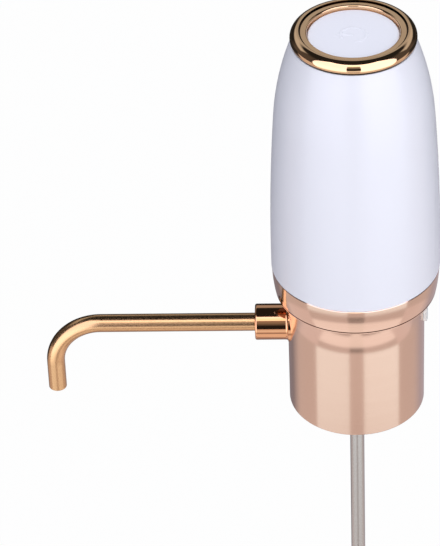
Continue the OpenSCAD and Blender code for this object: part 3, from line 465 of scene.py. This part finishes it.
# Natural acetal of the pump and of the channels: milky, waxy white
ACETAL = Finish(
    "acetal_natural", "#e7e4da", "#dcd8cc", 0.36, ior=1.48,
    pitch_mm=2.4, run_mm=2.4, height_um=3,
)
# Nickel strip, rolled: pale warm grey with rolling lines
NICKEL = Finish(
    "nickel_rolled", "#cbc7be", "#b9b5ab", 0.3, 1.0, grain=Grain.ALONG_X,
    pitch_mm=0.3, run_mm=6, height_um=0.8,
)
# Sintered ferrite: dark, slightly sparkling grey
FERRITE = Finish(
    "ferrite", "#4a4a4c", "#3a3a3d", 0.5, 0.3,
    pitch_mm=0.35, run_mm=0.35, height_um=7,
)
# Soft PVC hose: clear with a slight cloud in it
HOSE_CLEAR = Finish(
    "pvc_hose_clear", "#e9ece9", "#dfe4e0", 0.14, ior=1.52,
    pitch_mm=3, run_mm=3, height_um=3, transmission=0.75,
)
# Heat-shrunk PVC sleeve of the cell: glossy blue with fine draw lines along it
SLEEVE_BLUE = Finish(
    "pvc_sleeve_blue", "#2c6fb0", "#2563a2", 0.2, ior=1.53, grain=Grain.ALONG_Z,
    pitch_mm=1.2, run_mm=14, height_um=6,
)
# Fibreglass board under green solder mask: half gloss, with the weave felt as a slight unevenness
BOARD_GREEN = CircuitBoard(
    "fibreglass_board_green", "#1e6a3a", "#1b6135", 0.32, ior=1.55,
    height_um=4,
)
# Enamelled copper wire: warm and glossy, dark between the turns
COPPER_WOUND = Winding(
    "copper_wire_wound", "#b5652f", "#a5592a", 0.3, 0.8,
    pitch_mm=0.8, run_mm=0.8, height_um=6,
)


@dataclass
class Piece:
    """A new mesh that is modelled with operators and then rides on a body."""

    name: str
    body: Body
    slot: str
    parts: list[bpy.types.Object] = field(default_factory=list)

    def start(self) -> None:
        """Leaves edit mode and deselects everything."""
        if bpy.context.object and bpy.context.object.mode != "OBJECT":
            bpy.ops.object.mode_set(mode="OBJECT")
        bpy.ops.object.select_all(action="DESELECT")

    def keep(self) -> bpy.types.Object:
        """Applies the active object's place and keeps it as a part of the piece.

        Returns:
            The active object.
        """
        if bpy.context.object.mode != "OBJECT":
            bpy.ops.object.mode_set(mode="OBJECT")
        bpy.ops.object.transform_apply(location=True, rotation=True, scale=True)
        self.parts.append(bpy.context.object)
        return bpy.context.object

    def finish(self, look: Finish, angle: float = 35.0) -> None:
        """Joins the parts, smooths them, and hands the piece over.

        Args:
            look: Finish of the whole piece.
            angle: Largest angle between faces that is shaded smooth, in degrees.
        """
        self.start()
        for part in self.parts:
            part.select_set(True)
        bpy.context.view_layer.objects.active = self.parts[0]
        if len(self.parts) > 1:
            bpy.ops.object.join()
        piece = bpy.context.object
        bpy.ops.object.mode_set(mode="EDIT")
        bpy.ops.mesh.select_all(action="SELECT")
        bpy.ops.mesh.normals_make_consistent(inside=False)
        bpy.ops.object.mode_set(mode="OBJECT")
        bpy.ops.object.shade_smooth_by_angle(angle=math.radians(angle))
        piece.name = piece.data.name = self.name
        piece.data.materials.clear()
        piece.data.materials.append(look.make())
        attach(piece, self.body.value)
        LOG.info("piece %s rides on %s", self.name, self.body.value)


@dataclass
class Assembly:
    """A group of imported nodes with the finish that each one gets."""

    nodes: dict[str, bpy.types.Object]
    looks: dict[str, Finish] = field(default_factory=dict)

    def dress(self) -> None:
        """Gives each node of the group its finish."""
        for name, look in self.looks.items():
            for slot in self.nodes[name].material_slots:
                slot.material = look.make()
            LOG.info("node %s wears %s", name, look.name)

    def build(self) -> None:
        """Models the group's own pieces; a group without any adds nothing."""


@dataclass
class Shell(Assembly):
    """Cup, collar and white body, and the flare by which the cup's wall meets the collar."""

    flare_from: float = 17.8 * MM
    flare_r: float = 53.0 * MM
    flare_skin: float = 0.02 * MM
    flare_root: float = 0.1 * MM
    flare_steps: int = 18
    flare_sides: int = 160
    port_deg: float = 15.0
    sink_deg: float = 8.0
    fade_deg: float = 30.0
    looks: dict[str, Finish] = field(
        default_factory=lambda: {
            "base_cup": ROSE_BRUSHED,
            "collar_ring": ROSE_TURNED,
            "body_shell": GLOSS_WHITE,
        }
    )

    def profile(self) -> list[tuple[float, float]]:
        """Lists the flare's outline.

        Returns:
            Distances from the axis and heights, up the curve and back down inside the cup's wall.
        """
        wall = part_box("base_cup")[1].y
        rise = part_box("collar_ring")[0].z - self.flare_skin - self.flare_from
        steps = [rise * i / self.flare_steps for i in range(self.flare_steps + 1)]
        curve = [(wall + self.flare_skin + s * s / (2 * self.flare_r), self.flare_from + s) for s in steps]
        return [*curve, (wall - self.flare_root, curve[-1][1]), (wall - self.flare_root, curve[0][1])]

    def fade(self, mesh: bpy.types.Mesh) -> None:
        """Draws the flare in to the cup's wall beside the charging port, and its two ends under the wall.

        Args:
            mesh: The spun flare.
        """
        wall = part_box("base_cup")[1].y
        skin = wall + self.flare_skin
        for point in mesh.vertices:
            x, y, _ = point.co
            away = math.hypot(x, y)
            if away <= wall:
                continue
            turn = abs(math.degrees(math.atan2(y, x))) - self.port_deg
            sunk = 1 - min(turn / self.sink_deg, 1.0)
            share = min(max((turn - self.sink_deg) / self.fade_deg, 0.0), 1.0)
            share = share * share * (3 - 2 * share)
            reach = skin - 2 * self.flare_skin * sunk + (away - skin) * share
            point.co.x, point.co.y = x * reach / away, y * reach / away

    def build(self) -> None:
        """Models the flare: an outline spun round the axis, which dies away beside the charging port."""
        line = self.profile()
        flare = Piece("cup_flare", Body.HOUSING, "rose_steel")
        flare.start()
        bpy.ops.mesh.primitive_plane_add(size=MM)
        bpy.ops.object.mode_set(mode="EDIT")
        bpy.ops.mesh.select_all(action="SELECT")
        bpy.ops.mesh.merge(type="CENTER")
        bpy.ops.transform.translate(value=(line[0][0], 0, line[0][1]))
        for here, there in zip(line, [*line[1:], line[0]]):
            step = (there[0] - here[0], 0, there[1] - here[1])
            bpy.ops.mesh.extrude_region_move(TRANSFORM_OT_translate={"value": step})
        bpy.ops.mesh.select_all(action="SELECT")
        bpy.ops.mesh.remove_doubles(threshold=SAME_POINT)
        bpy.ops.transform.rotate(
            value=math.radians(self.port_deg), orient_axis="Z", center_override=(0, 0, 0)
        )
        bpy.ops.mesh.spin(
            steps=self.flare_sides,
            angle=math.radians(360 - 2 * self.port_deg),
            center=(0, 0, 0),
            axis=(0, 0, 1),
            dupli=False,
        )
        bpy.ops.mesh.select_all(action="SELECT")
        bpy.ops.mesh.fill_holes(sides=0)
        self.fade(flare.keep().data)
        flare.finish(ROSE_BRUSHED)


@dataclass
class Top(Assembly):
    """Trim ring, push button and the sign on its face."""

    sign_r: float = 5.4 * MM
    line_w: float = 1.4 * MM
    rise: float = 0.16 * MM
    gap_deg: float = 64.0
    ring_sides: int = 20
    ring_steps: int = 64
    bar_from: float = -0.6 * MM
    bar_to: float = -6.6 * MM
    bar_sides: int = 24
    bar_rings: int = 16
    middle_margin: float = UM
    looks: dict[str, Finish] = field(
        default_factory=lambda: {
            "top_trim_ring": GOLD_POLISHED,
            "push_button": BUTTON_WHITE,
            "switch_plunger": ABS_DARK,
            "tact_switch": ABS_DARK,
        }
    )

    def flatten(self) -> None:
        """Presses the edited line from a round section to the sign's height."""
        bpy.ops.object.mode_set(mode="EDIT")
        bpy.ops.mesh.select_all(action="SELECT")
        bpy.ops.transform.resize(value=(1, 1, 2 * self.rise / self.line_w))

    def ring(self, sign: Piece, face: float) -> None:
        """Models the sign's ring, open towards the spout.

        Args:
            sign: Piece that gets the ring.
            face: Height of the button's face.
        """
        sign.start()
        bpy.ops.mesh.primitive_circle_add(
            vertices=self.ring_sides,
            radius=self.line_w / 2,
            fill_type="NGON",
            rotation=(math.pi / 2, 0, 0),
        )
        bpy.ops.object.transform_apply(rotation=True)
        self.flatten()
        bpy.ops.transform.translate(value=(-self.sign_r, 0, face))
        bpy.ops.transform.rotate(
            value=-math.radians(self.gap_deg / 2), orient_axis="Z", center_override=(0, 0, face)
        )
        bpy.ops.mesh.spin(
            steps=self.ring_steps,
            angle=math.radians(360 - self.gap_deg),
            center=(0, 0, face),
            axis=(0, 0, 1),
            dupli=False,
        )
        sign.keep()

    def bar(self, sign: Piece, face: float) -> None:
        """Models the sign's bar: a flat ball whose one half is drawn out along X.

        Args:
            sign: Piece that gets the bar.
            face: Height of the button's face.
        """
        sign.start()
        bpy.ops.mesh.primitive_uv_sphere_add(
            radius=self.line_w / 2, segments=self.bar_sides, ring_count=self.bar_rings
        )
        self.flatten()
        bpy.ops.transform.translate(value=(self.bar_from, 0, face))
        bpy.ops.mesh.select_all(action="DESELECT")
        bpy.ops.object.mode_set(mode="OBJECT")
        for point in bpy.context.object.data.vertices:
            point.select = point.co.x < self.bar_from - self.middle_margin
        bpy.ops.object.mode_set(mode="EDIT")
        bpy.ops.mesh.select_mode(type="VERT")
        bpy.ops.transform.translate(value=(self.bar_to - self.bar_from, 0, 0))
        sign.keep()

    def build(self) -> None:
        """Models the raised sign, an open ring and a bar, half sunk in the button's face."""
        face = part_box("push_button")[1].z
        sign = Piece("button_sign", Body.BUTTON, "white_gloss")
        self.ring(sign, face)
        self.bar(sign, face)
        sign.finish(BUTTON_WHITE)


@dataclass
class Spout(Assembly):
    """Socket, plug with its seals, and the bent tube."""

    looks: dict[str, Finish] = field(
        default_factory=lambda: {
            "spout_socket": ROSE_POLISHED,
            "socket_seal": SILICONE_GREY,
            "spout_plug": ACETAL,
            "spout_seals": SILICONE_WHITE,
            "spout_tube": GOLD_SATIN,
        }
    )


@dataclass
class Stopper(Assembly):
    """Floor of the cup, stopper, the two dip tubes, and the channels above them."""

    looks: dict[str, Finish] = field(
        default_factory=lambda: {
            "floor_plate": ABS_DARK,
            "floor_screws": STEEL_ZINC,
            "stopper": SILICONE_GREY,
            "dip_tube_outer": STEEL_DRAWN,
            "dip_tube_collar": ABS_DARK,
            "dip_tube_seal": SILICONE_WHITE,
            "dip_tube_inner": STEEL_DRAWN,
            "flow_block": ACETAL,
            "check_valve": SILICONE_WHITE,
            "hose_nipple": ACETAL,
            "air_hose": HOSE_CLEAR,
        }
    )


@dataclass
class Pump(Assembly):
    """Motor, crank, wobble plate and diaphragm pump."""

    looks: dict[str, Finish] = field(
        default_factory=lambda: {
            "motor_can": STEEL_ZINC,
            "motor_magnets": FERRITE,
            "motor_armature": COPPER_WOUND,
            "motor_shaft": STEEL_DRAWN,
            "motor_end_cap": ACETAL,
            "pump_housing": ABS_DARK,
            "crank": ACETAL,
            "wobble_pin": STEEL_DRAWN,
            "wobble_plate": ACETAL,
            "diaphragm": RUBBER_BLACK,
            "valve_sheet": RUBBER_BLACK,
            "pump_head": ABS_DARK,
            "pump_screws": STEEL_ZINC,
        }
    )


@dataclass
class Power(Assembly):
    """Chassis, battery, boards and the charging port with its cover."""

    contact_count: int = 6
    contact_pitch: float = 0.9 * MM
    contact_size: tuple[float, float, float] = (3.2 * MM, 0.45 * MM, 0.12 * MM)
    contact_inset: float = 0.3 * MM
    bevel_share: float = 0.3
    bevel_steps: int = 2
    tongue_back: float = 1.1 * MM
    tongue_t: float = 0.7 * MM
    looks: dict[str, Finish] = field(
        default_factory=lambda: {
            "chassis": ABS_DARK,
            "chassis_screws": STEEL_ZINC,
            "battery_cell": SLEEVE_BLUE,
            "battery_tabs": NICKEL,
            "switch_board": BOARD_GREEN,
            "board_screws": STEEL_ZINC,
            "charge_board": BOARD_GREEN,
            "charge_socket": NICKEL,
            "port_strap": SILICONE_WHITE,
            "port_cover": SILICONE_WHITE,
        }
    )

    def build(self) -> None:
        """Models the gold contacts on both faces of the charging socket's tongue."""
        low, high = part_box("charge_socket")
        length, _, thick = self.contact_size
        piece = Piece("port_contacts", Body.HOUSING, "gold_polish")
        for side in (-1, 1):
            place = (
                high.x - self.tongue_back - self.contact_inset - length / 2,
                -(self.contact_count - 1) / 2 * self.contact_pitch,
                (low.z + high.z) / 2 + side * self.tongue_t / 2,
            )
            piece.start()
            bpy.ops.mesh.primitive_cube_add(size=1, location=place)
            bpy.ops.transform.resize(value=self.contact_size)
            bpy.ops.object.transform_apply(location=True, scale=True)
            bpy.ops.object.mode_set(mode="EDIT")
            bpy.ops.mesh.select_all(action="SELECT")
            bpy.ops.mesh.bevel(offset=thick * self.bevel_share, segments=self.bevel_steps, affect="EDGES")
            bpy.ops.mesh.select_all(action="SELECT")
            for _ in range(self.contact_count - 1):
                bpy.ops.mesh.duplicate_move(TRANSFORM_OT_translate={"value": (0, self.contact_pitch, 0)})
            piece.keep()
        piece.finish(GOLD_POLISHED)


@dataclass(frozen=True)
class Patch:
    """A part of the surround: a range of directions from the object and how bright it is.

    Directions are degrees: the turn from the front over the right, and the rise above the horizon.
    """

    turn: tuple[float, float]
    rise: tuple[float, float]
    level: float
    tint: str = "#ffffff"
    blur: float = 0.0

    def share(self, turn: np.ndarray, rise: np.ndarray) -> np.ndarray:
        """Tells how far directions lie in the patch.

        Args:
            turn: Degrees from the front over the right.
            rise: Degrees above the horizon.

        Returns:
            1 inside and 0 outside, with a slope as wide as the blur across the patch's edges.
        """
        inside = np.minimum(rise - self.rise[0], self.rise[1] - rise)
        half = (self.turn[1] - self.turn[0]) / 2
        if half < 180:
            off = np.abs((turn - self.turn[0] - half + 180) % 360 - 180)
            inside = np.minimum(inside, half - off)
        return np.clip(inside / self.blur + 0.5, 0, 1) if self.blur else (inside >= 0).astype(float)


# A light tent, open behind the camera: white panels left and right, a slit in the middle, a lamp overhead,
# a pale table with a darker edge, a dark gap behind it and a dim room. A later patch lies over an
# earlier one
SURROUND = {
    "dark_room": Patch((0, 360), (-90, 90), 0.02),
    "room_left": Patch((234, 288), (-12, 45), 0.09, "#fff0ea", blur=16),
    "room_right": Patch((76, 126), (-12, 45), 0.09, "#fff0ea", blur=16),
    "table_side": Patch((0, 360), (-90, -33), 0.64, "#ffede7"),
    "table_far": Patch((0, 360), (-33, -12), 0.75, "#ffede7"),
    "table_side_low": Patch((0, 360), (-90, -42), 0.78, "#ffece8"),
    "table_front": Patch((-72, 76), (-90, -48), 1.04, "#fff3f0"),
    "table_near": Patch((-72, 76), (-90, -63), 0.5, "#ffece6"),
    "table_slit": Patch((-12, 12), (-90, -48), 0.98, "#fff3ee"),
    "table_edge": Patch((-72, 76), (-48, -41), 0.64, "#ffede7"),
    "table_edge_slit": Patch((-12, 12), (-48, -42), 0.32, "#ffede7"),
    "table_behind_right": Patch((126, 196), (-90, -12), 0.5, "#f8ecf6", blur=24),
    "table_behind_left": Patch((180, 234), (-90, -12), 0.28, "#f6e9f2", blur=24),
    "gap_behind": Patch((108, 252), (-34, -4), 0.03, blur=5),
    "slit_haze": Patch((-24, 24), (20, 48), 0.34, "#fff6ea", blur=22),
    "panel_left_foot": Patch((-72, -12), (-41, -33), 1.0),
    "panel_right_foot": Patch((12, 76), (-41, -33), 1.03),
    "panel_left_knee": Patch((-72, -12), (-33, -24), 1.7),
    "panel_right_knee": Patch((12, 76), (-33, -24), 1.8),
    "panel_left_low": Patch((-72, -12), (-24, 12), 2.2, "#f6f4ff"),
    "panel_right_low": Patch((12, 76), (-24, 12), 2.3, "#f6f4ff"),
    "panel_left": Patch((-72, -12), (12, 57), 2.0, "#f2f0ff"),
    "panel_right": Patch((12, 76), (12, 57), 2.2, "#f2f0ff"),
    "slit_foot": Patch((-12, 12), (-42, -33), 0.7, "#ffede7"),
    "slit_table": Patch((-12, 12), (-33, -19), 1.0),
    "slit_lamp": Patch((-12, 12), (42, 57), 1.9, "#fff6ea"),
    "lamp_front": Patch((-72, 76), (57, 68), 2.3, "#f8f4fb"),
    "room_behind_sides": Patch((108, 252), (27, 44), 0.6, blur=6),
    "room_behind": Patch((166, 194), (14, 40), 0.46, blur=8),
}


@dataclass(frozen=True)
class Lamp:
    """A soft square lamp, whose level sets how bright its face is, whatever its size."""

    name: str
    place: tuple[float, float, float]
    side: float
    level: float

    def hang(self, aim: Vector) -> None:
        """Hangs the lamp so that reflections don't show it.

        Args:
            aim: Point that its face is turned to.
        """
        data = bpy.data.lights.new(self.name, "AREA")
        data.shape = "RECTANGLE"
        data.size = data.size_y = self.side
        data.energy = self.level * math.pi * self.side * self.side
        lamp = bpy.data.objects.new(self.name, data)
        bpy.context.scene.collection.objects.link(lamp)
        lamp.location = self.place
        lamp.rotation_euler = (aim - Vector(self.place)).to_track_quat("-Z", "Y").to_euler()
        lamp.visible_glossy = lamp.visible_camera = False


# A weak lamp on the left, a strong one in front, one above and one behind
LAMPS = (
    Lamp("lamp_left", (-0.9, -0.9, 0.5), 0.9, 0.3),
    Lamp("lamp_front", (0.45, -1.15, 0.75), 0.9, 2.5),
    Lamp("lamp_above", (0.1, -0.25, 1.5), 1.4, 1.2),
    Lamp("lamp_behind", (0, 1.2, 0.6), 0.9, 1.2),
)


@dataclass
class Studio:
    """White floor, soft lamps, the surround seen by the metal, and the camera of the photograph."""

    focal_px: float = 3300.0
    elevation: float = 36.47
    distance: float = 1.4227
    target_z: float = 0.069
    yaw: float = 2.355
    pitch: float = -0.895
    roll: float = -0.59
    clip: tuple[float, float] = (0.05, 50.0)
    ambient: float = 0.55
    fill: str = "#f2f5ff"
    floor_z: float = -0.29
    floor_side: float = 16.0
    floor_glow: float = 0.95
    paper: str = "#f4f4f4"
    room_r: float = 2.6
    room_faces: int = 180
    corner_pull: float = 0.05
    lamp_aim_z: float = 0.06

    def camera(self) -> None:
        """Sets the camera where it stands for the photograph."""
        tilt = math.radians(self.elevation)
        back = Vector((0, -math.cos(tilt), math.sin(tilt)))
        right = Vector((1, 0, 0))
        up = back.cross(right)
        axes = Matrix((right, up, back)).transposed()
        turn = (
            axes
            @ Matrix.Rotation(math.radians(self.yaw), 3, "Y")
            @ Matrix.Rotation(math.radians(self.pitch), 3, "X")
            @ Matrix.Rotation(math.radians(self.roll), 3, "Z")
        )
        data = bpy.data.cameras.new("photo_camera")
        data.sensor_width = SENSOR_MM
        data.lens = SENSOR_MM * self.focal_px / max(PHOTO_WIDTH, PHOTO_HEIGHT)
        data.clip_start, data.clip_end = self.clip
        seat = bpy.data.objects.new("photo_camera", data)
        bpy.context.scene.collection.objects.link(seat)
        place = Vector((0, 0, self.target_z)) + back * self.distance
        seat.matrix_world = Matrix.Translation(place) @ turn.to_4x4()
        bpy.context.scene.camera = seat

    def seen_white(self, tree: bpy.types.NodeTree) -> bpy.types.NodeSocket:
        """Adds the test for rays that see the background as white.

        Args:
            tree: Nodes of the floor or the world.

        Returns:
            1 for camera, glossy and transmission rays, otherwise 0.
        """
        path = add_node(tree, "ShaderNodeLightPath")
        first = add_node(
            tree,
            "ShaderNodeMath",
            links={0: path.outputs["Is Camera Ray"], 1: path.outputs["Is Glossy Ray"]},
            operation="MAXIMUM",
        )
        both = add_node(
            tree,
            "ShaderNodeMath",
            links={0: first.outputs[0], 1: path.outputs["Is Transmission Ray"]},
            operation="MAXIMUM",
        )
        return both.outputs[0]

    def world(self) -> None:
        """Lights the room evenly and shows white behind the object."""
        world = bpy.data.worlds.new("studio")
        world.use_nodes = True
        tree = world.node_tree
        tree.nodes.clear()
        fill = add_node(
            tree,
            "ShaderNodeBackground",
            values={"Color": linear(self.fill), "Strength": self.ambient},
        )
        white = add_node(tree, "ShaderNodeBackground", values={"Color": WHITE, "Strength": 1.0})
        mixed = add_node(
            tree,
            "ShaderNodeMixShader",
            links={0: self.seen_white(tree), 1: fill.outputs[0], 2: white.outputs[0]},
        )
        add_node(tree, "ShaderNodeOutputWorld", links={"Surface": mixed.outputs[0]})
        bpy.context.scene.world = world

    def floor(self) -> None:
        """Lays the white floor, which keeps a faint shadow and can be seen through from below."""
        bpy.ops.object.select_all(action="DESELECT")
        bpy.ops.mesh.primitive_plane_add(size=self.floor_side, location=(0, 0, self.floor_z))
        floor = bpy.context.object
        floor.name = "floor"
        material = empty_material("paper_floor")
        tree = material.node_tree
        paper = add_node(tree, "ShaderNodeBsdfDiffuse", values={"Color": linear(self.paper)})
        white = add_node(tree, "ShaderNodeEmission", values={"Color": WHITE, "Strength": 1.0})
        share = add_node(
            tree,
            "ShaderNodeMath",
            values={1: self.floor_glow},
            links={0: self.seen_white(tree)},
            operation="MULTIPLY",
        )
        mixed = add_node(
            tree,
            "ShaderNodeMixShader",
            links={0: share.outputs[0], 1: paper.outputs[0], 2: white.outputs[0]},
        )
        clear = add_node(tree, "ShaderNodeBsdfTransparent")
        side = add_node(tree, "ShaderNodeNewGeometry")
        both = add_node(
            tree,
            "ShaderNodeMixShader",
            links={0: side.outputs["Backfacing"], 1: mixed.outputs[0], 2: clear.outputs[0]},
        )
        add_node(tree, "ShaderNodeOutputMaterial", links={"Surface": both.outputs[0]})
        floor.data.materials.append(material)
        floor.visible_glossy = False

    def glow(self, mesh: bpy.types.Mesh) -> np.ndarray:
        """Works out what each corner of the dome gives off.

        A corner is read just inside its face, so that an edge without blur stays sharp.

        Args:
            mesh: The dome.

        Returns:
            One row of red, green, blue and alpha for each corner.
        """
        spots = np.array(
            [
                mesh.vertices[mesh.loops[i].vertex_index].co.lerp(face.center, self.corner_pull)
                for face in mesh.polygons
                for i in face.loop_indices
            ]
        )
        turn = np.degrees(np.arctan2(spots[:, 0], -spots[:, 1]))
        rise = np.degrees(np.arctan2(spots[:, 2], np.hypot(spots[:, 0], spots[:, 1])))
        glow = np.ones((len(spots), 4))
        for patch in SURROUND.values():
            share = patch.share(turn, rise)[:, None]
            colour = patch.level * np.array(linear(patch.tint)[:3])
            glow[:, :3] = glow[:, :3] * (1 - share) + share * colour
        return glow

    def surround(self) -> None:
        """Hangs the dome that only reflections see, so that it sets what the metal mirrors."""
        bpy.ops.object.select_all(action="DESELECT")
        bpy.ops.mesh.primitive_uv_sphere_add(
            radius=self.room_r, segments=self.room_faces, ring_count=self.room_faces
        )
        dome = bpy.context.object
        dome.name = "surround"
        mesh = dome.data
        colours = mesh.color_attributes.new("glow", "FLOAT_COLOR", "CORNER")
        colours.data.foreach_set("color", self.glow(mesh).ravel())
        material = empty_material("surround_glow")
        tree = material.node_tree
        colour = add_node(tree, "ShaderNodeAttribute", attribute_name="glow")
        light = add_node(
            tree,
            "ShaderNodeEmission",
            values={"Strength": 1.0},
            links={"Color": colour.outputs["Color"]},
        )
        add_node(tree, "ShaderNodeOutputMaterial", links={"Surface": light.outputs[0]})
        mesh.materials.append(material)
        dome.visible_camera = False
        dome.visible_diffuse = False
        dome.visible_shadow = False
        dome.visible_transmission = False

    def build(self) -> None:
        """Sets up camera, world, floor, surround and lamps."""
        self.camera()
        self.world()
        self.floor()
        self.surround()
        for lamp in LAMPS:
            lamp.hang(Vector((0, 0, self.lamp_aim_z)))
        bpy.context.scene.view_settings.view_transform = "Standard"


def main() -> None:
    """Loads the frame, then builds and dresses each group."""
    logging.basicConfig(level=logging.INFO, format="%(message)s")
    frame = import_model()
    Studio().build()
    for group in (Shell, Top, Spout, Stopper, Pump, Power):
        assembly = group(frame["nodes"])
        assembly.build()
        assembly.dress()


if __name__ == "__main__":
    main()
